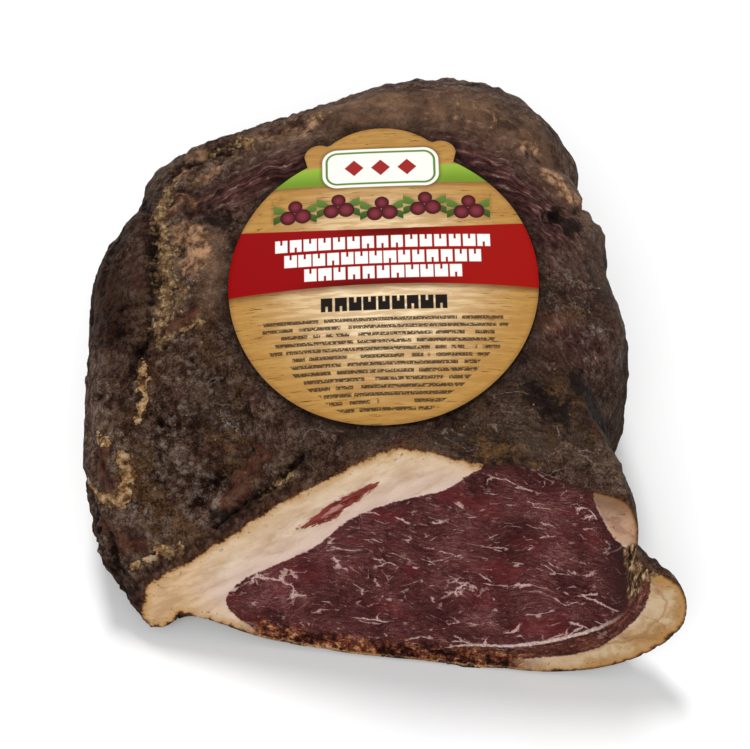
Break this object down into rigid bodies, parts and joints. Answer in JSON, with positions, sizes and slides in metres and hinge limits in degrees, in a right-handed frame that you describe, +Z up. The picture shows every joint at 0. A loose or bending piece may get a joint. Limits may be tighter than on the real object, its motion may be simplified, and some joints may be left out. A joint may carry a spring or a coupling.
{
  "type": "smoked mutton ham",
  "caption": "Boned smoked mutton ham lying flat: dark dried crust all round, one smooth knife cut that shows lean and fat, and a round paper label on top.",
  "frame": {"origin": "on the surface that it lies on, under the middle of its outline seen from above", "axes": "+Z up, -Y towards somebody who faces the cut, +X to their right"},
  "size_m": [0.1816, 0.1858, 0.0796],
  "materials": {
    "meat": "dull dried and smoked crust, smooth moist cut",
    "paper_label": "printed, satin"
  },
  "bodies": {
    "root": {"ham": "meat", "label": "paper_label"}
  },
  "joints": []
}
